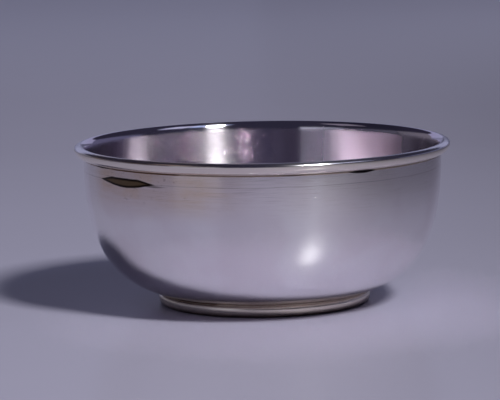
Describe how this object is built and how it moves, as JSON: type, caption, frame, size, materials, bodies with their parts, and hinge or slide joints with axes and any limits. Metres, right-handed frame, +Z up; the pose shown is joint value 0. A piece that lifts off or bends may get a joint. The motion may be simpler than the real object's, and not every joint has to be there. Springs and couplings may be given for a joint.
{
  "type": "footed bowl",
  "caption": "Round footed metal bowl with an upright rounded wall, a wire-thickened flared rim and a low rounded foot ring, for serving or holding food and small things.",
  "frame": {"origin": "centre of the foot ring, on the table", "axes": "+Z up along the bowl's axis of revolution; X and Y are level and interchangeable"},
  "size_m": [0.12, 0.12, 0.0516],
  "materials": {
    "polished_silver": "hand-polished silver, fine scratches, light tarnish under the rim",
    "foot_silver": "polished silver wire, duller in the corner under the bowl",
    "solder": "silver solder fillet, slightly yellower and duller than the sheet"
  },
  "bodies": {
    "root": {"bowl_body": "polished_silver", "rim_wire": "polished_silver", "rim_solder": "solder", "foot_ring": "foot_silver", "foot_solder": "solder"}
  },
  "joints": []
}
